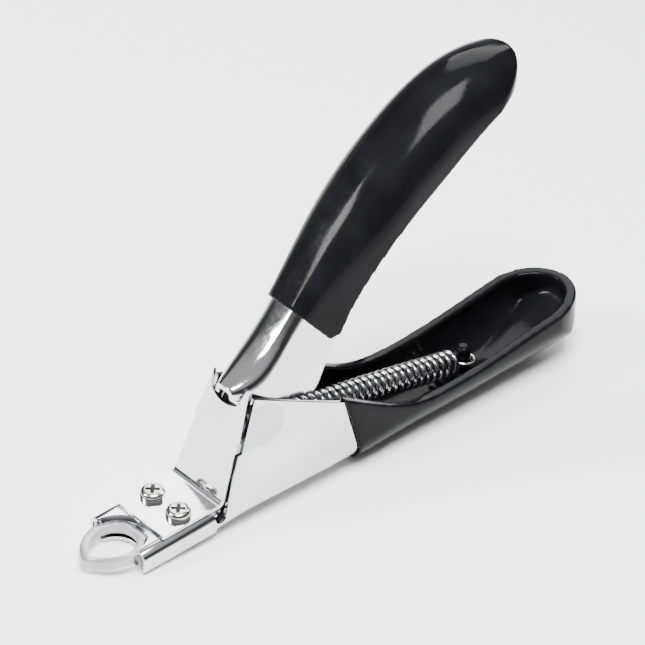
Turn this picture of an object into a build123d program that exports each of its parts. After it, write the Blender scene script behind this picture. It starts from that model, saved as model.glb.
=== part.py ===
"""Guillotine pet nail trimmer: fixed cutting ring, sliding blade carriage, squeeze lever and return spring.

Frame: +X from the nose to the handles, +Y to the left side, +Z up; millimetres.
The origin is the centre of the flat underside of the nose. The part is modelled with the handles open.
"""

from build123d import *
from math import atan2, cos, degrees, hypot, radians, sin, tan
import os

os.makedirs("parts", exist_ok=True)

# ---------------------------------------------------------------- driving dimensions
sheet = 1.0  # steel sheet of both pressings
vinyl = 0.8  # dip coat on each side of the handle steel
everywhere = 60.0  # reach of a cut that passes right through
smallest_round = 0.4

pivot_x, pivot_z = 26.0, 21.35  # hinge axis of the lever, along Y
squeeze = 44.0  # degrees from open to shut
drive_drop = 15.5  # height of the pivot above the drive pin's line of travel
rest_angle = squeeze / 2  # the finger swings equally behind and ahead of the vertical
drive_x = pivot_x + drive_drop * tan(radians(rest_angle))
drive_z = pivot_z - drive_drop

# nose of the lower frame
nose_front, nose_rear, nose_half = -9.9, 10.0, 9.3
rail_top, lip_half, lip_sheet = 5.4, 7.0, 0.8
nose_sheet, shoulder, roll, inner_roll = 0.9, 1.4, 2.2, 1.2

# cutting ring
arch_base = -10.0  # where the pointed arch starts
arch_half, arch_length = 6.7, 9.8
hole_half, hole_length, hole_rear_x = 4.9, 7.9, -10.6
ring_bottom, ring_top, ring_rear, leg_half = 2.3, 4.3, -4.1, 7.9
rivet_x, rivet_y, rivet_radius = -6.6, 7.0, 0.7

# carriage and blade
plate_front, crease_x, plate_top, plate_sheet, plate_half = -3.6, 12.6, 6.4, 0.8, 7.9
ramp_angle, ramp_step, ramp_length, ear_length = 68.0, 14.2, 22.6, 26.4
screw_x, screw_y, screw_radius = 3.6, 4.3, 1.5
head_radius, head_height, recess = 2.8, 1.8, 0.9
blade_half, blade_rear, blade_thickness, blade_front = 6.85, 7.8, 1.2, -9.4
blade_arc_x, blade_arc_radius, blade_bevel = -9.9, 5.9, 0.8
shoe_front, shoe_rear, shoe_bottom, shoe_flange_top, shoe_half = 8.6, 13.6, 3.3, 4.5, 7.5
arm_inner, arm_outer, arm_top = 5.6, 6.8, 7.4

# pivot and drive
pin_radius, running = 2.0, 0.05
drive_radius, fork_gap, finger_length, finger_width = 1.25, 0.3, 18.4, 6.4
boss_radius = 4.75
cheek_inner, cheek_outer = 2.4, 3.6

# handles
slot_height, slot_rear = 4.0, 13.2  # relief slot between the nose rails and the side walls
# Front edge of the side walls beside the ramp, with a step back where the keyed plates begin.
wall_front = [(16.2, 12.0), (18.0, 16.4), (19.0, 16.4), (23.8, 28.4)]
wall_rear_x, wall_rear_z = 47.0, 16.8
beyond_tip = 127.0
handle_half = 9.8  # half width of the handle steel
end_length = 14.1  # length of the handle steel's rounded end
heel_length = 34.0  # length over which the lower handle's underside rises to its tip
lower_tip_x, lower_axis_z = 122.8, 5.5
end_ease = 0.3  # the rounded end is this much wider than the handle, so that it meets the sides at an angle
lever_tip_x = 101.6

# return spring
spring_pin_x, spring_pin_z, spring_pin_radius = 33.0, 14.0, 1.0
anchor_x, anchor_z, anchor_radius, sleeve_radius = 91.5, 0.2, 1.0, 1.8
coil_radius, wire = 3.3, 0.55

# Sections of the lower frame: x, lowest z, highest z, half width low, half width high, corner radius.
lower_sections = [
    (9.0, 0.0, 34.0, 9.3, 4.7, 2.0),
    (29.0, 0.0, 34.0, 9.7, 6.4, 3.0),
    (50.0, -2.1, 34.0, 9.8, 8.8, 5.5),
    (63.0, -3.4, 34.0, 9.8, 9.6, 8.0),
    (76.0, -4.3, 34.0, handle_half, handle_half, 9.3),
]
# Sections of the lever: x, crown z, half width at the crown, half width at z 0, shoulder radius.
lever_sections = [
    (20.6, 30.0, 2.5, 5.7, 1.7),
    (37.0, 42.6, 5.3, 7.0, 3.6),
    (49.0, 56.2, 7.6, 7.8, 6.4),
    (60.0, 66.6, 9.5, 9.5, 8.8),
    (72.0, 75.4, handle_half, handle_half, 9.2),
    (85.0, 81.3, handle_half, handle_half, 9.2),
    (95.0, 82.2, handle_half, handle_half, 9.2),
    (106.0, 80.4, handle_half, handle_half, 9.2),
]
# Rims of the handle steel, from the front of each grip to its tip.
lower_rim = [(wall_rear_x, wall_rear_z), (57.3, 10.4), (67.0, 5.6), (78.0, 4.2), (93.0, 4.8), (125.0, 7.2)]
lever_rim = [
    (47.4, 36.0), (51.8, 44.6), (57.7, 52.0), (63.4, 57.4), (75.0, 65.2), (86.3, 72.3), (105.0, 79.0),
]


# Sketch planes beside and below the part, for outlines that are cut or kept right through it.
upright = Plane.XZ.offset(-everywhere)
level = Plane.XY.offset(-everywhere)


# ---------------------------------------------------------------- shapes used more than once
def channel_section(x, low, high, low_half, high_half, radius, inset):
    """Cross-section of the lower channel at x, moved inwards by inset."""
    inner_low = low + inset
    with BuildSketch(Plane.YZ.offset(x)) as drawn:
        with BuildLine():
            Polyline(
                (inset - low_half, inner_low),
                (low_half - inset, inner_low),
                (high_half - inset, high),
                (inset - high_half, high),
                close=True,
            )
        make_face()
        fillet(drawn.vertices().sort_by(Axis.Y)[:2], max(radius - inset, smallest_round))
    return drawn.sketch


def crown_section(x, crown, high_half, low_half, radius, inset):
    """Cross-section of the lever at x, open downwards, moved inwards by inset."""
    inner_crown = crown - 1.25 * inset  # the section is cut obliquely, so the sheet measures thicker there
    with BuildSketch(Plane.YZ.offset(x)) as drawn:
        with BuildLine():
            Polyline(
                (inset - low_half, 0),
                (low_half - inset, 0),
                (high_half - inset, inner_crown),
                (inset - high_half, inner_crown),
                close=True,
            )
        make_face()
        fillet(drawn.vertices().sort_by(Axis.Y)[-2:], max(radius - inset, smallest_round))
    return drawn.sketch


def round_end(tip_x, length, inset, plane, centre_height, middle_height):
    """Solid, right through the part, of all that lies outside a handle's rounded end."""
    end_x = tip_x - length
    with BuildPart() as outside:
        with BuildSketch(plane):
            with Locations((end_x + everywhere, middle_height)):
                Rectangle(2 * everywhere, 2 * everywhere)
            with Locations((end_x, centre_height)):
                Ellipse(length - inset, handle_half - inset + end_ease, mode=Mode.SUBTRACT)
        extrude(amount=3 * everywhere)
    return outside.part


def lower_form(inset):
    """Solid form of the lower channel, moved inwards by inset, with its rounded end."""
    plan_cut = round_end(lower_tip_x, end_length, inset, level, 0, 0)
    side_cut = round_end(lower_tip_x, heel_length, inset, upright, lower_axis_z, lower_axis_z - everywhere)
    sections = [channel_section(*station, inset) for station in lower_sections]
    with BuildPart() as form:
        add(sections)
        loft()
        add(sections[-1])
        extrude(amount=everywhere, dir=(1, 0, 0))
        add(plan_cut, mode=Mode.SUBTRACT)
        add(side_cut, mode=Mode.SUBTRACT)
    return form.part


def lever_form(inset):
    """Solid form of the lever, moved inwards by inset, with its rounded end."""
    plan_cut = round_end(lever_tip_x, end_length, inset, level, 0, 0)
    sections = [crown_section(*station, inset) for station in lever_sections]
    with BuildPart() as form:
        add(sections)
        loft()
        add(plan_cut, mode=Mode.SUBTRACT)
    return form.part


def raised(points, rise):
    """The points moved straight up."""
    return [(x, z + rise) for x, z in points]


def pointed_arch(half, length):
    """Outline of a pointed arch that opens towards +X, from its right foot over the tip to its left foot."""
    radius = (length**2 + half**2) / (2 * half)
    RadiusArc((arch_base, -half), (arch_base - length, 0), radius)
    RadiusArc((arch_base - length, 0), (arch_base, half), radius)


def cross_pin(x, z, radius, reach):
    """A pin along Y, centred on the middle plane."""
    with BuildPart() as pin:
        with BuildSketch(Plane.XZ):
            with Locations((x, z)):
                Circle(radius)
        extrude(amount=reach, both=True)
    return pin.part


# ---------------------------------------------------------------- lower frame
lower_outside, lower_inside = lower_form(0), lower_form(sheet)
lower_coat, lower_lining = lower_form(-vinyl), lower_form(sheet + vinyl)
lever_outside, lever_inside = lever_form(0), lever_form(sheet)
lever_coat, lever_lining = lever_form(-vinyl), lever_form(sheet + vinyl)

with BuildPart() as wall_shell:  # both side walls before the pivot windows are cut
    add(lower_outside)
    add(lower_inside, mode=Mode.SUBTRACT)
    with BuildSketch(upright):
        with BuildLine():
            Polyline(
                (beyond_tip, lower_rim[-1][1]), (beyond_tip, -10), (nose_rear - 1, -10),
                (nose_rear - 1, slot_height), (nose_rear, slot_height),
            )
            slot_width = slot_rear - nose_rear
            ThreePointArc(  # round foot of the relief slot
                (nose_rear, slot_height), (nose_rear + slot_width / 2, slot_height - slot_width / 2),
                (slot_rear, slot_height),
            )
            Polyline(
                (slot_rear, slot_height), *wall_front, (wall_rear_x, wall_rear_z),
            )
            Spline(*lower_rim)
            Line(lower_rim[-1], (beyond_tip, lower_rim[-1][1]))
        make_face()
    extrude(amount=2 * everywhere, mode=Mode.INTERSECT)

with BuildPart() as windows:
    with BuildSketch(Plane.XZ.offset(-nose_half)):
        with Locations((pivot_x, pivot_z)):
            Circle(boss_radius)
        with Locations(((wall_front[0][0] + pivot_x) / 2, pivot_z)):
            Rectangle(pivot_x - wall_front[0][0], 2 * boss_radius)
    extrude(amount=2 * nose_half)

with BuildPart() as lower_frame:
    add(wall_shell.part)
    add(windows.part, mode=Mode.SUBTRACT)
    with BuildSketch(Plane.YZ.offset(nose_front)) as rails:
        with BuildLine():
            Polyline(
                (-nose_half, 0), (nose_half, 0), (nose_half, rail_top), (-nose_half, rail_top), close=True
            )
        make_face()
        fillet(rails.vertices().sort_by(Axis.Y)[:2], shoulder)
        fillet(rails.vertices().sort_by(Axis.Y)[-2:], roll)
        with BuildSketch(mode=Mode.PRIVATE) as hollow:
            with Locations((0, (nose_sheet + rail_top - lip_sheet) / 2)):
                Rectangle(2 * (nose_half - nose_sheet), rail_top - lip_sheet - nose_sheet)
            fillet(hollow.vertices().sort_by(Axis.Y)[-2:], inner_roll)
        add(hollow.sketch, mode=Mode.SUBTRACT)
        with Locations((0, rail_top)):
            Rectangle(2 * lip_half, 2 * lip_sheet, mode=Mode.SUBTRACT)
    extrude(amount=nose_rear - nose_front)
    with BuildSketch(Plane.XY):
        with Locations((hole_rear_x, 0)):
            Circle(hole_half + 0.4)
        with Locations((rivet_x, rivet_y), (rivet_x, -rivet_y)):
            Circle(rivet_radius)
    extrude(amount=nose_sheet, mode=Mode.SUBTRACT)
lower_frame.part.label = "lower_frame"

with BuildPart() as cutting_ring:
    with BuildSketch(Plane.XY.offset(ring_bottom)):
        with BuildLine():
            pointed_arch(arch_half, arch_length)
            Polyline(
                (arch_base, arch_half), (nose_front, arch_half), (nose_front, leg_half),
                (ring_rear, leg_half), (ring_rear, -leg_half), (nose_front, -leg_half),
                (nose_front, -arch_half), (arch_base, -arch_half),
            )
        make_face()
        with BuildLine():
            pointed_arch(hole_half, hole_length)
            Line((arch_base, hole_half), (arch_base, -hole_half))
        make_face(mode=Mode.SUBTRACT)
        with Locations((hole_rear_x, 0)):
            Circle(hole_half, mode=Mode.SUBTRACT)
    extrude(amount=ring_top - ring_bottom)
    with BuildSketch(Plane.XY.offset(nose_sheet)):
        with Locations((rivet_x, rivet_y), (rivet_x, -rivet_y)):
            Rectangle(4.4, 1.6)
    extrude(amount=ring_bottom - nose_sheet)
    with BuildSketch(Plane.XY):
        with Locations((rivet_x, rivet_y), (rivet_x, -rivet_y)):
            Circle(rivet_radius)
    extrude(amount=ring_top, mode=Mode.SUBTRACT)
cutting_ring.part.label = "cutting_ring"

ring_rivets = []
for side, across in (("left", rivet_y), ("right", -rivet_y)):
    with BuildPart() as ring_rivet:
        with BuildSketch(Plane.XY):
            with Locations((rivet_x, across)):
                Circle(rivet_radius)
        extrude(amount=ring_top)
    ring_rivet.part.label = side + "_ring_rivet"
    ring_rivets.append(ring_rivet.part)

# ---------------------------------------------------------------- pivot
with BuildPart() as pivot_pin:
    add(cross_pin(pivot_x, pivot_z, pin_radius, 7.0))
pivot_pin.part.label = "pivot_pin"

pivot_plates = []
for side, name in ((1, "left_pivot_plate"), (-1, "right_pivot_plate")):
    with BuildPart() as pivot_plate:
        add(wall_shell.part)
        with BuildSketch(Plane.XZ) as plate_outline:
            with Locations((pivot_x, pivot_z)):
                Circle(boss_radius - running)
            with Locations(((wall_front[0][0] + pivot_x) / 2, pivot_z)):
                Rectangle(pivot_x - wall_front[0][0], 2 * (boss_radius - running))
        extrude(amount=-side * everywhere, mode=Mode.INTERSECT)
        add(pivot_pin.part, mode=Mode.SUBTRACT)
    pivot_plate.part.label = name
    pivot_plates.append(pivot_plate.part)

# ---------------------------------------------------------------- spring anchor and lower grip
with BuildPart() as spring_anchor:
    with BuildSketch(Plane.XY.offset(-3.3)):
        with Locations((anchor_x, 0)):
            Circle(anchor_radius)
    extrude(amount=6.6)
spring_anchor.part.label = "spring_anchor"

with BuildPart() as anchor_sleeve:
    with BuildSketch(Plane.XY.offset(-2.5)):
        with Locations((anchor_x, 0)):
            Circle(sleeve_radius)
    extrude(amount=6.6)
    fillet(anchor_sleeve.faces().sort_by(Axis.Z)[-1].edges(), 1.2)
    add(lower_lining, mode=Mode.INTERSECT)
    add(spring_anchor.part, mode=Mode.SUBTRACT)
anchor_sleeve.part.label = "anchor_sleeve"

with BuildPart() as lower_grip:
    add(lower_coat)
    add(lower_lining, mode=Mode.SUBTRACT)
    with BuildSketch(upright):
        with BuildLine():
            Polyline(
                (beyond_tip, lower_rim[-1][1] + vinyl), (beyond_tip, -10), (50.9, -10), (50.9, 1.6),
                raised(lower_rim, vinyl)[0],
            )
            Spline(*raised(lower_rim, vinyl))
            Line(raised(lower_rim, vinyl)[-1], (beyond_tip, lower_rim[-1][1] + vinyl))
        make_face()
    extrude(amount=2 * everywhere, mode=Mode.INTERSECT)
    add(lower_frame.part, mode=Mode.SUBTRACT)
    add(spring_anchor.part, mode=Mode.SUBTRACT)
lower_grip.part.label = "lower_grip"

# ---------------------------------------------------------------- lever
with BuildPart() as upper_lever:
    add(lever_outside)
    add(lever_inside, mode=Mode.SUBTRACT)
    with BuildSketch(upright):
        with BuildLine():
            Polyline(lever_rim[-1], (106, 100), (20, 100), (20, 27.4), (41.0, 21.2), lever_rim[0])
            Spline(*lever_rim)
        make_face()
    extrude(amount=2 * everywhere, mode=Mode.INTERSECT)
upper_lever.part.label = "upper_lever"

with BuildPart() as upper_grip:
    add(lever_coat)
    add(lever_lining, mode=Mode.SUBTRACT)
    with BuildSketch(upright):
        lowered = raised(lever_rim, -1.2 * vinyl)
        with BuildLine():
            Polyline(lowered[-1], (108, 100), (0, 100), (36.5, 44.4), (44.6, 34.4), lowered[0])
            Spline(*lowered)
        make_face()
    extrude(amount=2 * everywhere, mode=Mode.INTERSECT)
    add(upper_lever.part, mode=Mode.SUBTRACT)
upper_grip.part.label = "upper_grip"

# ---------------------------------------------------------------- lever bracket
def polar(reach, angle):
    """Point at a reach and an angle, in degrees, from the pivot in the XZ plane."""
    return (pivot_x + reach * cos(radians(angle)), pivot_z + reach * sin(radians(angle)))


spring_reach = hypot(spring_pin_x - pivot_x, spring_pin_z - pivot_z)
spring_angle = degrees(atan2(spring_pin_z - pivot_z, spring_pin_x - pivot_x))
finger_angle = -90 + rest_angle
finger_reach = finger_length - finger_width / 2
fork_start = drive_drop - drive_radius - fork_gap

with BuildPart() as lever_bracket:
    with BuildSketch(Plane.XZ.offset(-cheek_outer)):
        with Locations((pivot_x, pivot_z)):
            Circle(4.2)
        with Locations(polar(spring_reach / 2, spring_angle)):
            SlotCenterToCenter(spring_reach, 4.6, rotation=spring_angle)
        with Locations(polar(finger_reach / 2, finger_angle)):
            SlotCenterToCenter(finger_reach, finger_width, rotation=finger_angle)
        with BuildLine():
            Polyline((22.6, 23.8), (29.6, 19.2), (40.0, 37.0), (35.5, 43.6), (29.0, 37.5), close=True)
        make_face()
        with Locations(polar(fork_start + finger_length / 2, finger_angle)):
            Rectangle(
                finger_length, 2 * (drive_radius + fork_gap), rotation=finger_angle, mode=Mode.SUBTRACT
            )
    extrude(amount=2 * cheek_outer)
    with BuildSketch(Plane.XZ.offset(-cheek_inner)):
        with Locations((pivot_x, pivot_z)):
            Rectangle(everywhere, 2 * everywhere)
    extrude(amount=2 * cheek_inner, mode=Mode.SUBTRACT)
    with BuildSketch(Plane.XZ.offset(-cheek_outer)):  # web that joins the cheeks under the crown
        with BuildLine():
            Polyline((30.0, 33.0), (37.6, 39.0), (36.0, 44.0), (30.0, 40.0), close=True)
        make_face()
    extrude(amount=2 * cheek_outer)
    add(lever_inside, mode=Mode.INTERSECT)
    with BuildSketch(Plane.XZ.offset(-cheek_outer)):
        with Locations((pivot_x, pivot_z)):
            Circle(pin_radius + running)
        with Locations((spring_pin_x, spring_pin_z)):
            Circle(spring_pin_radius)
    extrude(amount=2 * cheek_outer, mode=Mode.SUBTRACT)
lever_bracket.part.label = "lever_bracket"

with BuildPart() as pivot_sleeve:
    with BuildSketch(Plane.XZ.offset(-cheek_inner)):
        with Locations((pivot_x, pivot_z)):
            Circle(3.2)
            Circle(pin_radius + running, mode=Mode.SUBTRACT)
    extrude(amount=2 * cheek_inner)
pivot_sleeve.part.label = "pivot_sleeve"

with BuildPart() as spring_pin:
    add(cross_pin(spring_pin_x, spring_pin_z, spring_pin_radius, cheek_outer))
spring_pin.part.label = "spring_pin"

# ---------------------------------------------------------------- carriage
ramp_normal = (-sin(radians(ramp_angle)), 0, cos(radians(ramp_angle)))
ramp_plane = Plane(origin=(crease_x, 0, plate_top), x_dir=(0, -1, 0), z_dir=ramp_normal)
screw_places = {"left": (screw_x, screw_y), "right": (screw_x, -screw_y)}

with BuildPart() as carriage:
    with BuildSketch(Plane.XY.offset(plate_top - plate_sheet)):
        with Locations(((plate_front + crease_x + plate_sheet) / 2, 0)):
            Rectangle(crease_x + plate_sheet - plate_front, 2 * plate_half)
        with Locations(*screw_places.values()):
            Circle(screw_radius, mode=Mode.SUBTRACT)
    extrude(amount=plate_sheet)
    with BuildSketch(ramp_plane):
        with BuildLine():
            ramp_side = [
                (plate_half, 0), (6.6, ramp_step), (7.1, ramp_step), (5.9, ramp_length),
                (5.5, ear_length), (4.6, ramp_length - 0.2),
            ]
            Polyline(*ramp_side)
            ThreePointArc(ramp_side[-1], (0, ramp_length - 1.8), (-4.6, ramp_length - 0.2))
            Polyline(*[(-across, along) for across, along in reversed(ramp_side)])
            Line((-plate_half, 0), (plate_half, 0))
        make_face()
    extrude(amount=-plate_sheet)
carriage.part.label = "carriage"

with BuildPart() as blade:
    blade_bottom = plate_top - plate_sheet - blade_thickness
    with BuildSketch(Plane.XY.offset(blade_bottom)):
        with Locations(((blade_front + blade_rear) / 2, 0)):
            Rectangle(blade_rear - blade_front, 2 * blade_half)
        with Locations((blade_arc_x, 0)):
            Circle(blade_arc_radius, mode=Mode.SUBTRACT)
        with Locations(*screw_places.values()):
            Circle(screw_radius, mode=Mode.SUBTRACT)
    extrude(amount=blade_thickness)
    with Locations((blade_arc_x, 0, blade_bottom + 0.2 + blade_thickness / 2)):  # ground cutting bevel
        Cone(
            blade_arc_radius, blade_arc_radius + blade_bevel * 1.2, blade_thickness, mode=Mode.SUBTRACT
        )
blade.part.label = "blade"

blade_screws = []
for side, place in screw_places.items():
    with BuildPart() as blade_screw:
        with BuildSketch(Plane.XY.offset(blade_bottom)):
            with Locations(place):
                Circle(screw_radius)
        extrude(amount=plate_top - blade_bottom)
        with BuildSketch(Plane.XY.offset(plate_top)):
            with Locations(place):
                Circle(head_radius)
        extrude(amount=head_height)
        fillet(blade_screw.faces().sort_by(Axis.Z)[-1].edges(), 1.1)
        with BuildSketch(Plane.XY.offset(plate_top + head_height)):
            with Locations(place):
                Rectangle(3.2, recess, rotation=45)
                Rectangle(3.2, recess, rotation=-45)
        extrude(amount=-1.4, mode=Mode.SUBTRACT)
    blade_screw.part.label = side + "_blade_screw"
    blade_screws.append(blade_screw.part)

with BuildPart() as slide_shoe:
    with BuildSketch(Plane.XY.offset(shoe_bottom)):
        with Locations(((shoe_front + shoe_rear) / 2, 0)):
            Rectangle(shoe_rear - shoe_front, 2 * shoe_half)
    extrude(amount=shoe_flange_top - shoe_bottom)
    with BuildSketch(Plane.XY.offset(shoe_flange_top)):
        with Locations(((shoe_front + shoe_rear) / 2, 0)):
            Rectangle(shoe_rear - shoe_front, 2 * blade_half)
    extrude(amount=plate_top - plate_sheet - shoe_flange_top)
    with BuildSketch(Plane.XZ.offset(-arm_outer)):
        with BuildLine():
            Polyline(
                (shoe_rear - 1, shoe_bottom), (shoe_rear - 1, shoe_flange_top), (14.6, 5.2),
                (15.6, arm_top), (drive_x, arm_top), (drive_x + 2.4, drive_z),
                (drive_x, shoe_bottom), close=True,
            )
        make_face()
    extrude(amount=2 * arm_outer)
    with BuildSketch(Plane.XZ.offset(-arm_inner)):
        with Locations((shoe_rear + everywhere / 2, drive_z)):
            Rectangle(everywhere, everywhere)
    extrude(amount=2 * arm_inner, mode=Mode.SUBTRACT)
    add(cross_pin(drive_x, drive_z, drive_radius, arm_outer), mode=Mode.SUBTRACT)
slide_shoe.part.label = "slide_shoe"

with BuildPart() as drive_pin:
    add(cross_pin(drive_x, drive_z, drive_radius, arm_outer))
drive_pin.part.label = "drive_pin"

# ---------------------------------------------------------------- return spring
axis_angle = degrees(atan2(anchor_z - spring_pin_z, anchor_x - spring_pin_x))
spring_length = hypot(anchor_x - spring_pin_x, anchor_z - spring_pin_z)
loop_radius = coil_radius - wire
coil_start, coil_end = 5.6, spring_length - loop_radius - 0.2
spring_plane = Plane(
    origin=(spring_pin_x, 0, spring_pin_z),
    x_dir=(0, 1, 0),
    z_dir=(cos(radians(axis_angle)), 0, sin(radians(axis_angle))),
)

with BuildPart() as return_spring:  # the coil as one tube with closed ends, and its two end loops
    with BuildSketch(spring_plane.offset(coil_start)):
        Circle(coil_radius)
    extrude(amount=coil_end - coil_start)
    with BuildSketch(spring_plane.offset(coil_start + wire)):
        Circle(coil_radius - wire)
    extrude(amount=coil_end - coil_start - 2 * wire, mode=Mode.SUBTRACT)
    front_loop = Plane(origin=spring_plane.origin, x_dir=spring_plane.z_dir, z_dir=(0, 1, 0))
    rear_loop = Plane(
        origin=spring_plane.origin + spring_plane.z_dir * spring_length,
        x_dir=spring_plane.z_dir,
        z_dir=spring_plane.y_dir,
    )
    with Locations(front_loop):
        Torus(2.0, wire)
    with Locations(rear_loop):
        Torus(loop_radius, wire)
    with BuildSketch(spring_plane.offset(2.0)):
        Circle(wire)
    extrude(amount=coil_start - 2.0)
return_spring.part.label = "return_spring"

# ---------------------------------------------------------------- files
pieces = [
    lower_frame.part, cutting_ring.part, *ring_rivets, pivot_pin.part, *pivot_plates,
    spring_anchor.part, anchor_sleeve.part, lower_grip.part,
    upper_lever.part, upper_grip.part, lever_bracket.part, pivot_sleeve.part, spring_pin.part,
    carriage.part, blade.part, *blade_screws, slide_shoe.part, drive_pin.part, return_spring.part,
]
for piece in pieces:
    export_step(piece, f"parts/{piece.label}.step")
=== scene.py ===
"""Looks of a guillotine pet nail trimmer.

Bright plated pressings, dipped vinyl handles, the sliding blade set and the return spring. Every
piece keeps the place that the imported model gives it. Lengths are in metres, angles in degrees.
"""

import logging
import math
from dataclasses import dataclass
from enum import Enum
from typing import Iterable

import bpy
from mathutils import Matrix, Vector


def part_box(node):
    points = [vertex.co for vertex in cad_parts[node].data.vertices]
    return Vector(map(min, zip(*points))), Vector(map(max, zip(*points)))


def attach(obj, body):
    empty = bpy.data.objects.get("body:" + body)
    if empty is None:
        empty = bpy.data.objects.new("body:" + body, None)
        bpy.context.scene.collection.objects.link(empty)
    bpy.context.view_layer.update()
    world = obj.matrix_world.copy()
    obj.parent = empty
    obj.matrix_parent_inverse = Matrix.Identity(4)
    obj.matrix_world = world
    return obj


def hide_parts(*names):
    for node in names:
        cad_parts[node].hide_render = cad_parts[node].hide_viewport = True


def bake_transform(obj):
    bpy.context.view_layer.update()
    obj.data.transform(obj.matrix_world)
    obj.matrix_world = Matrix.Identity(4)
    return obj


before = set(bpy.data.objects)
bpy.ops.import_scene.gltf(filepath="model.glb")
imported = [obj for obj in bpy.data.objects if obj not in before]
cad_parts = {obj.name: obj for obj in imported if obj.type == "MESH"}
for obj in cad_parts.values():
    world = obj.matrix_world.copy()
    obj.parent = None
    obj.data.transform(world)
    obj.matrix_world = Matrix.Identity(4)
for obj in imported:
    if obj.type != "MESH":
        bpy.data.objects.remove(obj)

LOG = logging.getLogger("pet_nail_trimmer")
MILLIMETRE = 0.001
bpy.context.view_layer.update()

MERGE_WITHIN = 0.002 * MILLIMETRE
PATTERNS_PER_METRE = 1000.0
BUMP_DISTANCE = 0.05 * MILLIMETRE
SMOOTH_BELOW = 35.0
SMOOTH_EVERYWHERE = 180.0
CURVED_SHEET_FLATS = 0.05
QUARTER_TURN = 0.5 * math.pi
FULL_TURN = 2.0 * math.pi


class Body(Enum):
    """Rigid bodies of the trimmer that pieces ride on."""

    FRAME = "frame"
    LEVER = "lever"
    CARRIAGE = "carriage"


class SurfaceKind(Enum):
    """How a finish answers light."""

    METAL = "metal"
    VINYL = "vinyl"


METALLIC = {SurfaceKind.METAL: 1.0, SurfaceKind.VINYL: 0.0}
REFRACTION = {SurfaceKind.METAL: 1.52, SurfaceKind.VINYL: 1.14}


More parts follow.
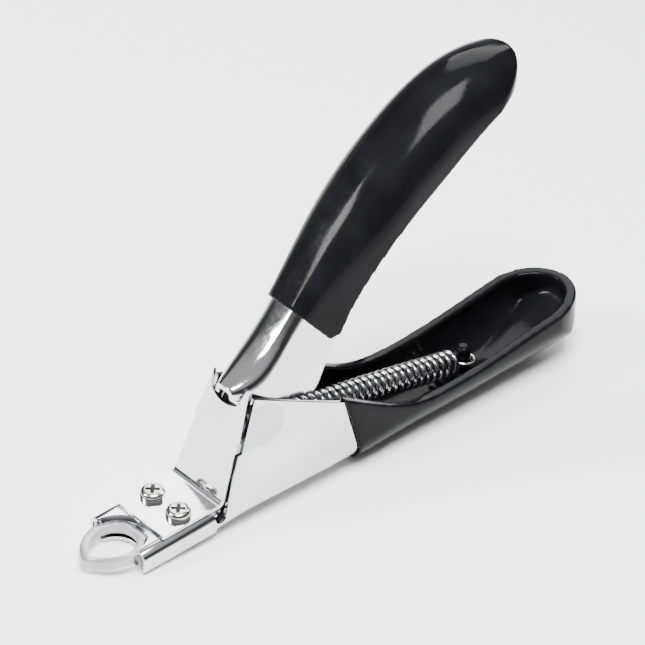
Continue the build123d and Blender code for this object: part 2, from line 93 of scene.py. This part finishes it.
@dataclass(frozen=True)
class HandledSurface:
    """Grain, ripple, specks and uneven gloss, as the one node group that all finishes share."""

    name: str = "handled_surface"
    grain_scale: float = 1.0
    grain_detail: float = 4.0
    ripple_detail: float = 2.0
    smudge_scale: float = 0.11
    smudge_detail: float = 3.0
    speck_detail: float = 1.0
    gloss_from: tuple[float, float] = (0.15, 0.4)
    wear_from: tuple[float, float] = (0.35, 0.75)

    def group(self) -> bpy.types.NodeTree:
        """Gives the node group.

        Returns:
            The group, built on the first call.
        """
        if self.name in bpy.data.node_groups:
            return bpy.data.node_groups[self.name]
        tree = bpy.data.node_groups.new(self.name, "ShaderNodeTree")
        self.add_sockets(tree)
        entry = tree.nodes.new("NodeGroupInput").outputs
        leave = tree.nodes.new("NodeGroupOutput").inputs
        stretch = tree.nodes.new("ShaderNodeVectorMath")
        stretch.operation = "MULTIPLY"
        tree.links.new(entry["Place"], stretch.inputs[0])
        tree.links.new(entry["Grain"], stretch.inputs[1])
        grain = self.noise(tree, stretch.outputs["Vector"], self.grain_detail, self.grain_scale)
        ripple = self.noise(tree, entry["Place"], self.ripple_detail, entry["Ripple"])
        smudge = self.noise(tree, entry["Place"], self.smudge_detail, self.smudge_scale)
        speck = self.noise(tree, entry["Place"], self.speck_detail, entry["Speck size"])

        gloss = self.spread(tree, self.sums(tree, "MULTIPLY", smudge, grain), self.gloss_from)
        tree.links.new(entry["Smooth"], gloss.inputs["To Min"])
        tree.links.new(entry["Rough"], gloss.inputs["To Max"])
        tree.links.new(gloss.outputs["Result"], leave["Roughness"])

        dots = self.sums(tree, "GREATER_THAN", speck, entry["Speck share"])
        worn = self.spread(tree, smudge, self.wear_from)
        blend = tree.nodes.new("ShaderNodeMix")
        blend.data_type = "RGBA"
        mix_share, mix_clean, mix_worn = blend.inputs[0], blend.inputs[6], blend.inputs[7]
        mixed = blend.outputs[2]
        tree.links.new(self.sums(tree, "MAXIMUM", worn.outputs["Result"], dots), mix_share)
        tree.links.new(entry["Clean"], mix_clean)
        tree.links.new(entry["Worn"], mix_worn)
        tree.links.new(mixed, leave["Colour"])

        deep_grain = self.sums(tree, "MULTIPLY", grain, entry["Grain depth"])
        deep_ripple = self.sums(tree, "MULTIPLY", ripple, entry["Ripple depth"])
        tree.links.new(self.sums(tree, "ADD", deep_grain, deep_ripple), leave["Height"])
        return tree

    @staticmethod
    def add_sockets(tree: bpy.types.NodeTree) -> None:
        """Names the group's inputs and outputs.

        Args:
            tree: The group.
        """
        vector, colour, number = "NodeSocketVector", "NodeSocketColor", "NodeSocketFloat"
        inputs = (
            ("Place", vector), ("Clean", colour), ("Worn", colour), ("Smooth", number),
            ("Rough", number), ("Grain", vector), ("Grain depth", number), ("Ripple", number),
            ("Ripple depth", number), ("Speck size", number), ("Speck share", number),
        )
        outputs = (("Colour", colour), ("Roughness", number), ("Height", number))
        for sockets, side in ((inputs, "INPUT"), (outputs, "OUTPUT")):
            for socket, kind in sockets:
                tree.interface.new_socket(name=socket, in_out=side, socket_type=kind)

    @staticmethod
    def noise(
        tree: bpy.types.NodeTree,
        place: bpy.types.NodeSocket,
        detail: float,
        scale: float | bpy.types.NodeSocket,
    ) -> bpy.types.NodeSocket:
        """Adds a noise texture.

        Args:
            tree: The group.
            place: Socket of the coordinates.
            detail: Number of octaves.
            scale: Size of the pattern, or the socket that gives it.

        Returns:
            The noise's value.
        """
        made = tree.nodes.new("ShaderNodeTexNoise")
        made.inputs["Detail"].default_value = detail
        if isinstance(scale, float):
            made.inputs["Scale"].default_value = scale
        else:
            tree.links.new(scale, made.inputs["Scale"])
        tree.links.new(place, made.inputs["Vector"])
        return made.outputs["Fac"]

    @staticmethod
    def sums(
        tree: bpy.types.NodeTree,
        operation: str,
        first: bpy.types.NodeSocket,
        second: bpy.types.NodeSocket,
    ) -> bpy.types.NodeSocket:
        """Adds a math node of two values.

        Args:
            tree: The group.
            operation: Name of the operation.
            first: First value.
            second: Second value.

        Returns:
            The result.
        """
        made = tree.nodes.new("ShaderNodeMath")
        made.operation = operation
        tree.links.new(first, made.inputs[0])
        tree.links.new(second, made.inputs[1])
        return made.outputs[0]

    @staticmethod
    def spread(
        tree: bpy.types.NodeTree, value: bpy.types.NodeSocket, span: tuple[float, float]
    ) -> bpy.types.Node:
        """Adds a node that spreads part of a value's range from 0 to 1.

        Args:
            tree: The group.
            value: The value.
            span: Lowest and highest value of that part.

        Returns:
            The node.
        """
        made = tree.nodes.new("ShaderNodeMapRange")
        made.inputs["From Min"].default_value, made.inputs["From Max"].default_value = span
        tree.links.new(value, made.inputs["Value"])
        return made


@dataclass(frozen=True)
class Finish:
    """One surface finish of the trimmer.

    Patterns are sized in millimetres on the piece itself. The slot names a material slot; it is
    not used.
    """

    name: str
    kind: SurfaceKind
    colour: tuple[float, float, float]
    worn_colour: tuple[float, float, float]
    smooth: float
    rough: float
    grain: tuple[float, float, float] = (0.25, 2.5, 2.5)
    grain_depth: float = 0.02
    ripple: float = 0.35
    ripple_depth: float = 0.03
    speck_size: float = 6.0
    speck_share: float = 0.66
    slot: str = "plated_sheet"

    def material(self) -> bpy.types.Material:
        """Builds the finish as a node material.

        Returns:
            The material, with its pattern on Object coordinates.
        """
        made = bpy.data.materials.new(self.name)
        made.use_nodes = True
        tree = made.node_tree
        surface = tree.nodes["Principled BSDF"]
        surface.inputs["Metallic"].default_value = METALLIC[self.kind]
        surface.inputs["IOR"].default_value = REFRACTION[self.kind]
        place = tree.nodes.new("ShaderNodeTexCoord")
        scale = tree.nodes.new("ShaderNodeMapping")
        scale.inputs["Scale"].default_value = (PATTERNS_PER_METRE,) * 3
        tree.links.new(place.outputs["Object"], scale.inputs["Vector"])
        wear = tree.nodes.new("ShaderNodeGroup")
        wear.node_tree = HandledSurface().group()
        settings = {
            "Clean": (*self.colour, 1.0),
            "Worn": (*self.worn_colour, 1.0),
            "Smooth": self.smooth,
            "Rough": self.rough,
            "Grain": self.grain,
            "Grain depth": self.grain_depth,
            "Ripple": self.ripple,
            "Ripple depth": self.ripple_depth,
            "Speck size": self.speck_size,
            "Speck share": self.speck_share,
        }
        for socket, value in settings.items():
            wear.inputs[socket].default_value = value
        tree.links.new(scale.outputs["Vector"], wear.inputs["Place"])
        tree.links.new(wear.outputs["Colour"], surface.inputs["Base Color"])
        tree.links.new(wear.outputs["Roughness"], surface.inputs["Roughness"])
        bump = tree.nodes.new("ShaderNodeBump")
        bump.inputs["Strength"].default_value = 1.0
        bump.inputs["Distance"].default_value = BUMP_DISTANCE
        tree.links.new(wear.outputs["Height"], bump.inputs["Height"])
        tree.links.new(bump.outputs["Normal"], surface.inputs["Normal"])
        return made


PLATE = Finish(
    "bright_plate", SurfaceKind.METAL,
    colour=(0.64, 0.64, 0.655), worn_colour=(0.56, 0.56, 0.57), smooth=0.06, rough=0.13,
    grain_depth=0.03, ripple=0.22, ripple_depth=0.10, speck_share=0.76,
)
SCREW = Finish(
    "screw_plate", SurfaceKind.METAL,
    colour=(0.52, 0.51, 0.50), worn_colour=(0.30, 0.30, 0.30), smooth=0.12, rough=0.24,
    grain=(1.2, 1.2, 1.2), grain_depth=0.12, speck_share=0.7,
)
SATIN = Finish(
    "satin_ring_steel", SurfaceKind.METAL,
    colour=(0.36, 0.36, 0.37), worn_colour=(0.27, 0.27, 0.28), smooth=0.24, rough=0.36,
    grain=(0.5, 6.0, 6.0), grain_depth=0.35, ripple_depth=0.05,
    speck_size=3.0, speck_share=0.7, slot="satin_steel",
)
# Painted shade: the pivot plates on the D-shaped bosses get a darker plate colour than the bright
# plate, standing in for the shade on the bosses' tilted faces. Its specks and worn patches fall at
# random.
BOSS_SHADE_PLATE = Finish(
    "boss_plate_painted_shade", SurfaceKind.METAL,
    colour=(0.50, 0.50, 0.51), worn_colour=(0.43, 0.43, 0.44), smooth=0.10, rough=0.18,
    grain=(2.5, 2.5, 0.25), grain_depth=0.10, speck_share=0.74,
)
GROUND = Finish(
    "ground_blade_steel", SurfaceKind.METAL,
    colour=(0.74, 0.74, 0.76), worn_colour=(0.62, 0.62, 0.64), smooth=0.10, rough=0.22,
    grain=(7.0, 0.5, 7.0), grain_depth=0.30, speck_share=0.74, slot="ground_steel",
)
WIRE = Finish(
    "spring_wire", SurfaceKind.METAL,
    colour=(0.55, 0.55, 0.56), worn_colour=(0.34, 0.34, 0.35), smooth=0.14, rough=0.26,
    grain=(0.6, 3.0, 3.0), grain_depth=0.2, speck_size=4.0, speck_share=0.7, slot="spring_wire",
)
VINYL = Finish(
    "black_dipped_vinyl", SurfaceKind.VINYL,
    colour=(0.0035, 0.0035, 0.004), worn_colour=(0.006, 0.006, 0.007), smooth=0.08, rough=0.20,
    grain=(1.5, 1.5, 1.5), grain_depth=0.10, ripple=0.18, ripple_depth=0.55,
    speck_size=5.0, speck_share=0.72, slot="black_vinyl",
)


def only(thing: bpy.types.Object) -> None:
    """Selects one object and nothing else.

    Args:
        thing: The object.
    """
    if bpy.context.object is not None and bpy.context.object.mode != "OBJECT":
        bpy.ops.object.mode_set(mode="OBJECT")
    bpy.ops.object.select_all(action="DESELECT")
    thing.select_set(True)
    bpy.context.view_layer.objects.active = thing


def dress(thing: bpy.types.Object, material: bpy.types.Material) -> None:
    """Gives a piece one material."""
    thing.data.materials.clear()
    thing.data.materials.append(material)


def shaped_copy(node: str, name: str) -> bpy.types.Object:
    """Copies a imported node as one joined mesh, for a piece that stands for it.

    Args:
        node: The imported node.
        name: Name of the new piece.

    Returns:
        The copy, with its loose triangles merged.
    """
    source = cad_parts[node]
    copy = source.copy()
    copy.data = source.data.copy()
    copy.parent = None
    copy.name = name
    for key in list(copy.keys()):
        del copy[key]
    bpy.context.scene.collection.objects.link(copy)
    only(copy)
    bpy.ops.object.mode_set(mode="EDIT")
    bpy.ops.mesh.select_all(action="SELECT")
    bpy.ops.mesh.remove_doubles(threshold=MERGE_WITHIN)
    bpy.ops.object.mode_set(mode="OBJECT")
    bpy.ops.mesh.customdata_custom_splitnormals_clear()
    return copy


def finished(
    thing: bpy.types.Object,
    node: str,
    body: Body,
    finish: Finish,
    smooth_below: float = SMOOTH_BELOW,
) -> None:
    """Dresses a piece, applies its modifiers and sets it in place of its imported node.

    Args:
        thing: The new piece.
        node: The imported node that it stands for.
        body: The body that it rides on.
        finish: Its finish.
        smooth_below: Edges flatter than this are shaded smooth.
    """
    dress(thing, finish.material())
    only(thing)
    for modifier in list(thing.modifiers):
        bpy.ops.object.modifier_apply(modifier=modifier.name)
    bpy.ops.object.shade_smooth_by_angle(angle=math.radians(smooth_below))
    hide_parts(node)
    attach(thing, body.value)
    LOG.info("%s stands for %s: %d faces", thing.name, node, len(thing.data.polygons))


@dataclass
class PressedSheet:
    """A sheet piece whose cut edges are eased, as tumbling leaves them.

    The fold is the place of a sharp bend across the sheet, as its x and z.
    """

    node: str
    body: Body
    finish: Finish
    edge: float = 0.12 * MILLIMETRE
    edge_turns: int = 3
    edge_sharper_than: float = 32.0
    flats: float = 0.6
    fold: tuple[float, float] | None = None
    fold_radius: float = 0.9 * MILLIMETRE
    fold_turns: int = 6
    fold_reach: float = 1.2 * MILLIMETRE
    fold_shortest: float = 2.0 * MILLIMETRE
    fold_straightness: float = 0.9

    def build(self) -> bpy.types.Object:
        """Builds the piece.

        Returns:
            The finished piece.
        """
        piece = shaped_copy(self.node, self.node + "_eased")
        bpy.ops.object.mode_set(mode="EDIT")
        bpy.ops.mesh.select_all(action="SELECT")
        bpy.ops.mesh.dissolve_limited(angle_limit=math.radians(self.flats))
        bpy.ops.mesh.select_all(action="DESELECT")
        bpy.ops.object.mode_set(mode="OBJECT")
        if self.fold is not None:
            self.round_fold(piece)
        ease = piece.modifiers.new("eased_edges", "BEVEL")
        ease.width = self.edge
        ease.segments = self.edge_turns
        ease.limit_method = "ANGLE"
        ease.angle_limit = math.radians(self.edge_sharper_than)
        ease.use_clamp_overlap = True
        finished(piece, self.node, self.body, self.finish)
        return piece

    def round_fold(self, piece: bpy.types.Object) -> None:
        """Turns the sharp fold across the sheet into a rounded bend.

        Args:
            piece: The sheet.
        """
        fold_x, fold_z = self.fold
        for edge in piece.data.edges:
            ends = [piece.data.vertices[index].co for index in edge.vertices]
            near = all(
                abs(end.x - fold_x) < self.fold_reach and abs(end.z - fold_z) < self.fold_reach
                for end in ends
            )
            across = abs(ends[0].y - ends[1].y)
            straight = across > self.fold_straightness * (ends[0] - ends[1]).length
            edge.select = near and straight and across > self.fold_shortest
        bpy.context.tool_settings.mesh_select_mode = (False, True, False)
        bpy.ops.object.mode_set(mode="EDIT")
        bpy.ops.mesh.bevel(offset=self.fold_radius, segments=self.fold_turns, affect="EDGES")
        bpy.ops.mesh.select_all(action="DESELECT")
        bpy.ops.object.mode_set(mode="OBJECT")


@dataclass
class DippedGrip:
    """A vinyl dip with the soft rim and the thick rounded edges that dripping leaves."""

    node: str
    body: Body
    grid: float = 0.36 * MILLIMETRE
    flow: float = 0.5
    passes: int = 9

    def build(self) -> bpy.types.Object:
        """Builds the grip.

        Returns:
            The finished grip.
        """
        piece = shaped_copy(self.node, self.node + "_dip")
        even = piece.modifiers.new("even_skin", "REMESH")
        even.mode = "VOXEL"
        even.voxel_size = self.grid
        flow = piece.modifiers.new("flowed_rim", "SMOOTH")
        flow.factor = self.flow
        flow.iterations = self.passes
        finished(piece, self.node, self.body, VINYL, SMOOTH_EVERYWHERE)
        return piece


@dataclass
class ReturnSpring:
    """The close-wound extension spring with a hook at each end.

    Front and rear are the middles of its two hooks. The wire is given by its radius, and so are
    the coil and the hooks, at the middle of the wire.
    """

    front: Vector
    rear: Vector
    wire: float = 0.52 * MILLIMETRE
    wire_corners: int = 3
    coil: float = 2.72 * MILLIMETRE
    turns: int = 25
    steps: int = 26
    hook: float = 1.95 * MILLIMETRE
    hook_end: float = -20.0
    hook_sweep: float = 320.0
    hook_steps: int = 21
    rear_hook: float = 2.7 * MILLIMETRE
    rear_hook_start: float = 150.0
    rear_hook_steps: int = 25
    lead: float = 5.7 * MILLIMETRE
    lead_steps: int = 10
    lead_growth: float = 1.3
    tail: float = 0.8 * MILLIMETRE
    tail_overlap: float = 0.9 * MILLIMETRE
    tail_steps: int = 8
    smooth_below: float = 60.0
    still_behind: float = 15.0 * MILLIMETRE
    hooked_before: float = 1.0 * MILLIMETRE

    @classmethod
    def hooked(cls, hook_rise: float = 2.53 * MILLIMETRE) -> "ReturnSpring":
        """Hangs the spring between the lever's pin and the frame's post.

        Args:
            hook_rise: Height of the rear hook over the spring's lowest point.

        Returns:
            The spring, not built yet.
        """
        pin_low, pin_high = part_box("spring_pin")
        post_low, post_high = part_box("anchor_sleeve")
        spring_low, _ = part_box("return_spring")
        front = Vector(((pin_low[0] + pin_high[0]) / 2, 0.0, (pin_low[2] + pin_high[2]) / 2))
        rear = Vector(((post_low[0] + post_high[0]) / 2, 0.0, spring_low[2] + hook_rise))
        return cls(front, rear)

    def axes(self) -> tuple[Vector, Vector, Vector]:
        """Gives the directions along the spring, across the trimmer and up.

        Returns:
            The three directions.
        """
        along = (self.rear - self.front).normalized()
        side = Vector((0.0, 1.0, 0.0))
        return along, side, along.cross(side).normalized()

    def front_part(self, start: float) -> list[Vector]:
        """Works out the front hook and the lead that widens into the coils.

        Args:
            start: Distance of the first coil from the front hook's middle.

        Returns:
            Points on the wire's centre line.
        """
        along, side, up = self.axes()
        points = []
        for step in range(self.hook_steps + 1):
            angle = math.radians(self.hook_end - self.hook_sweep * (1 - step / self.hook_steps))
            turned = along * math.cos(angle) + up * math.sin(angle)
            points.append(self.front + turned * self.hook)
        for step in range(1, self.lead_steps):
            share = step / self.lead_steps
            angle = (share - 1) * QUARTER_TURN
            base = self.front + along * (self.hook + (start - self.hook) * share)
            turned = side * math.cos(angle) + up * math.sin(angle)
            points.append(base + turned * (self.coil * share**self.lead_growth))
        return points

    def coils(self, start: float, end: float) -> list[Vector]:
        """Works out the coils.

        Args:
            start: Distance of the first coil from the front hook's middle.
            end: Distance of the last coil from it.

        Returns:
            Points on the wire's centre line.
        """
        along, side, up = self.axes()
        points = []
        total = self.turns * self.steps
        for step in range(total + 1):
            angle = FULL_TURN * step / self.steps
            base = self.front + along * (start + (end - start) * step / total)
            points.append(base + (side * math.cos(angle) + up * math.sin(angle)) * self.coil)
        return points

    def rear_part(self, end: float) -> list[Vector]:
        """Works out the tail that leaves the coils and the rear hook.

        Args:
            end: Distance of the last coil from the front hook's middle.

        Returns:
            Points on the wire's centre line.
        """
        along, side, up = self.axes()
        points = []
        for step in range(1, self.tail_steps):
            share = step / self.tail_steps
            angle = share * QUARTER_TURN
            base = self.front + along * (end + self.tail_overlap * share)
            turned = side * math.cos(angle) + up * ((1 - share) * math.sin(angle))
            points.append(base + turned * self.coil)
        for step in range(self.rear_hook_steps + 1):
            angle = math.radians(
                self.rear_hook_start - self.hook_sweep * step / self.rear_hook_steps
            )
            turned = along * math.cos(angle) + side * math.sin(angle)
            points.append(self.rear + turned * self.rear_hook)
        return points

    def path(self) -> list[Vector]:
        """Works out the wire's centre line from the front hook to the rear hook.

        Returns:
            Points on the line, in the trimmer's frame.
        """
        reach = (self.rear - self.front).length
        start, end = self.lead, reach - self.rear_hook - self.tail
        return self.front_part(start) + self.coils(start, end) + self.rear_part(end)

    def build(self) -> bpy.types.Object:
        """Builds the spring as one bent wire.

        Returns:
            The finished spring.
        """
        drawn = bpy.data.curves.new("return_spring_wire", "CURVE")
        drawn.dimensions = "3D"
        line = drawn.splines.new("POLY")
        points = self.path()
        line.points.add(len(points) - 1)
        for mark, point in zip(line.points, points):
            mark.co = (*point, 1.0)
        drawn.bevel_depth = self.wire
        drawn.bevel_resolution = self.wire_corners
        drawn.use_fill_caps = True
        piece = bpy.data.objects.new("return_spring_wire", drawn)
        bpy.context.scene.collection.objects.link(piece)
        only(piece)
        bpy.ops.object.convert(target="MESH")
        piece = bpy.context.object
        bpy.ops.object.shade_smooth_by_angle(angle=math.radians(self.smooth_below))
        dress(piece, WIRE.material())
        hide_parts("return_spring")
        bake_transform(piece)
        LOG.info("%s: %d points", piece.name, len(points))
        return piece


@dataclass
class PlainNodes:
    """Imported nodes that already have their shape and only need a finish."""

    nodes: Iterable[str]
    finish: Finish

    def build(self) -> None:
        """Gives the nodes their finish."""
        for node in self.nodes:
            dress(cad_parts[node], self.finish.material())
            LOG.info("%s dressed as %s", node, self.finish.name)


@dataclass
class BladeSlide:
    """The set that slides forwards: bent plate, blade, screws, shoe and drive pin."""

    plate_fold: tuple[float, float] = (0.0128, 0.0060)
    blade_edge: float = 0.05 * MILLIMETRE

    def build(self) -> None:
        """Builds and dresses the set."""
        PressedSheet("carriage", Body.CARRIAGE, PLATE, fold=self.plate_fold).build()
        PressedSheet("blade", Body.CARRIAGE, GROUND, edge=self.blade_edge).build()
        PlainNodes(("slide_shoe",), PLATE).build()
        PlainNodes(("drive_pin", "left_blade_screw", "right_blade_screw"), SCREW).build()


@dataclass
class LowerHandle:
    """The pressing that carries the rest, with its ring, hinge, spring post and vinyl dip."""

    ring_edge: float = 0.2 * MILLIMETRE
    pressing_edge: float = 0.1 * MILLIMETRE

    def build(self) -> None:
        """Builds and dresses the lower handle."""
        PressedSheet("cutting_ring", Body.FRAME, SATIN, edge=self.ring_edge).build()
        PressedSheet(
            "lower_frame", Body.FRAME, PLATE, edge=self.pressing_edge, flats=CURVED_SHEET_FLATS
        ).build()
        DippedGrip("lower_grip", Body.FRAME).build()
        # The pivot plates wear the darker plate colour that paints the shade on the D-shaped
        # bosses.
        PlainNodes(("left_pivot_plate", "right_pivot_plate"), BOSS_SHADE_PLATE).build()
        PlainNodes(
            ("pivot_pin", "spring_anchor", "left_ring_rivet", "right_ring_rivet"), SCREW
        ).build()
        PlainNodes(("anchor_sleeve",), VINYL).build()


@dataclass
class UpperHandle:
    """The lever with its vinyl dip, bracket, hinge sleeve and spring pin."""

    pressing_edge: float = 0.1 * MILLIMETRE

    def build(self) -> None:
        """Builds and dresses the upper handle."""
        PressedSheet(
            "upper_lever", Body.LEVER, PLATE, edge=self.pressing_edge, flats=CURVED_SHEET_FLATS
        ).build()
        DippedGrip("upper_grip", Body.LEVER).build()
        PlainNodes(("lever_bracket",), PLATE).build()
        PlainNodes(("pivot_sleeve", "spring_pin"), SCREW).build()


def direction(turn: float, tilt: float) -> Vector:
    """Gives the direction that leads away from the trimmer.

    Args:
        turn: Turn round the upright axis, from the front.
        tilt: Rise above the horizontal.

    Returns:
        The direction, one metre long.
    """
    around, above = math.radians(turn), math.radians(tilt)
    level = math.cos(above)
    return Vector((math.sin(around) * level, -math.cos(around) * level, math.sin(above)))


@dataclass(frozen=True)
class SoftBox:
    """A square soft box that hangs round the trimmer and faces its middle.

    The turn is counted from the camera, the tilt from the horizontal, and the power is in watts.
    """

    name: str
    turn: float
    tilt: float
    far: float
    size: float
    power: float
    aim: tuple[float, float, float] = (0.05, 0.0, 0.03)

    def hang(self, azimuth: float) -> None:
        """Hangs the box.

        Args:
            azimuth: The camera's azimuth.
        """
        away = direction(azimuth + self.turn, self.tilt)
        glow = bpy.data.lights.new(self.name, "AREA")
        glow.shape = "RECTANGLE"
        glow.size = self.size
        glow.size_y = self.size
        glow.energy = self.power
        box = bpy.data.objects.new(self.name, glow)
        bpy.context.scene.collection.objects.link(box)
        facing = away.to_track_quat("Z", "Y").to_matrix().to_4x4()
        box.matrix_world = Matrix.Translation(Vector(self.aim) + away * self.far) @ facing


@dataclass
class Studio:
    """White table, soft light and the camera."""

    azimuth: float = -41.67
    elevation: float = 37.97
    distance: float = 0.947
    lens: float = 246.3
    film_width: float = 36.0
    sight_limit: float = 20.0
    aim: tuple[float, float, float] = (-0.0036, 0.0, 0.0064)
    right: float = 0.03919
    above: float = 0.0422
    table_size: float = 8.0
    table_gap: float = 0.1 * MILLIMETRE
    heel_share: float = 0.36
    paper_shade: float = 0.93
    paper_rough: float = 0.9
    paper_specular: float = 0.1
    sky_strength: float = 0.6
    sky_bands: tuple[tuple[float, float], ...] = (
        (0.0, 1.0), (0.12, 0.9), (0.26, 0.10), (0.52, 0.10), (0.72, 1.0), (1.0, 1.0),
    )
    boxes: tuple[SoftBox, ...] = (
        SoftBox("top_box", turn=20.0, tilt=78.0, far=1.0, size=0.55, power=36.0),
        SoftBox("left_box", turn=-80.0, tilt=38.0, far=1.0, size=0.26, power=14.0),
        SoftBox("back_box", turn=176.0, tilt=38.0, far=1.1, size=0.62, power=9.0),
    )

    def camera(self) -> None:
        """Sets up the camera."""
        turn = math.radians(self.azimuth)
        back = direction(self.azimuth, self.elevation)
        right = Vector((math.cos(turn), math.sin(turn), 0.0))
        up = back.cross(right)
        lens = bpy.data.cameras.new("camera")
        lens.lens = self.lens
        lens.sensor_width = self.film_width
        lens.clip_end = self.sight_limit
        eye = bpy.data.objects.new("camera", lens)
        bpy.context.scene.collection.objects.link(eye)
        place = Vector(self.aim) + back * self.distance + right * self.right + up * self.above
        facing = Matrix((right, up, back)).transposed().to_4x4()
        eye.matrix_world = Matrix.Translation(place) @ facing
        bpy.context.scene.camera = eye

    def table(self) -> None:
        """Lays a white table under the two places that the trimmer rests on."""
        nose = Vector((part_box("lower_frame")[0][0], 0.0, 0.0))
        low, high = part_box("lower_grip")
        heel = Vector((low[0] + self.heel_share * (high[0] - low[0]), 0.0, low[2]))
        slope = math.atan2(nose.z - heel.z, heel.x - nose.x)
        middle = (nose + heel) / 2
        middle.z -= self.table_gap
        bpy.ops.object.select_all(action="DESELECT")
        bpy.ops.mesh.primitive_plane_add(
            size=self.table_size, location=middle, rotation=(0.0, slope, 0.0)
        )
        table = bpy.context.object
        table.name = "white_table"
        paper = bpy.data.materials.new("white_paper")
        paper.use_nodes = True
        surface = paper.node_tree.nodes["Principled BSDF"]
        surface.inputs["Base Color"].default_value = (*(self.paper_shade,) * 3, 1.0)
        surface.inputs["Roughness"].default_value = self.paper_rough
        surface.inputs["Specular IOR Level"].default_value = self.paper_specular
        dress(table, paper)

    def sky(self) -> None:
        """Sets the surrounding light, banded by height so that the plating has darks to mirror."""
        world = bpy.context.scene.world or bpy.data.worlds.new("studio")
        bpy.context.scene.world = world
        world.use_nodes = True
        tree = world.node_tree
        sky = tree.nodes["Background"]
        sky.inputs["Strength"].default_value = self.sky_strength
        place = tree.nodes.new("ShaderNodeTexCoord")
        height = tree.nodes.new("ShaderNodeSeparateXYZ")
        bands = tree.nodes.new("ShaderNodeValToRGB")
        tree.links.new(place.outputs["Generated"], height.inputs["Vector"])
        tree.links.new(height.outputs["Z"], bands.inputs["Fac"])
        tree.links.new(bands.outputs["Color"], sky.inputs["Color"])
        ramp = bands.color_ramp
        while len(ramp.elements) < len(self.sky_bands):
            ramp.elements.new(0.5)
        for mark, (rise, shade) in zip(ramp.elements, self.sky_bands):
            mark.position = rise
            mark.color = (shade, shade, shade, 1.0)

    def build(self) -> None:
        """Sets up the camera, the table and the light."""
        self.camera()
        self.table()
        self.sky()
        for box in self.boxes:
            box.hang(self.azimuth)


def main() -> None:
    """Builds the studio and the trimmer's sub-assemblies in order."""
    logging.basicConfig(level=logging.INFO)
    Studio().build()
    BladeSlide().build()
    LowerHandle().build()
    UpperHandle().build()
    ReturnSpring.hooked().build()


if __name__ == "__main__":
    main()
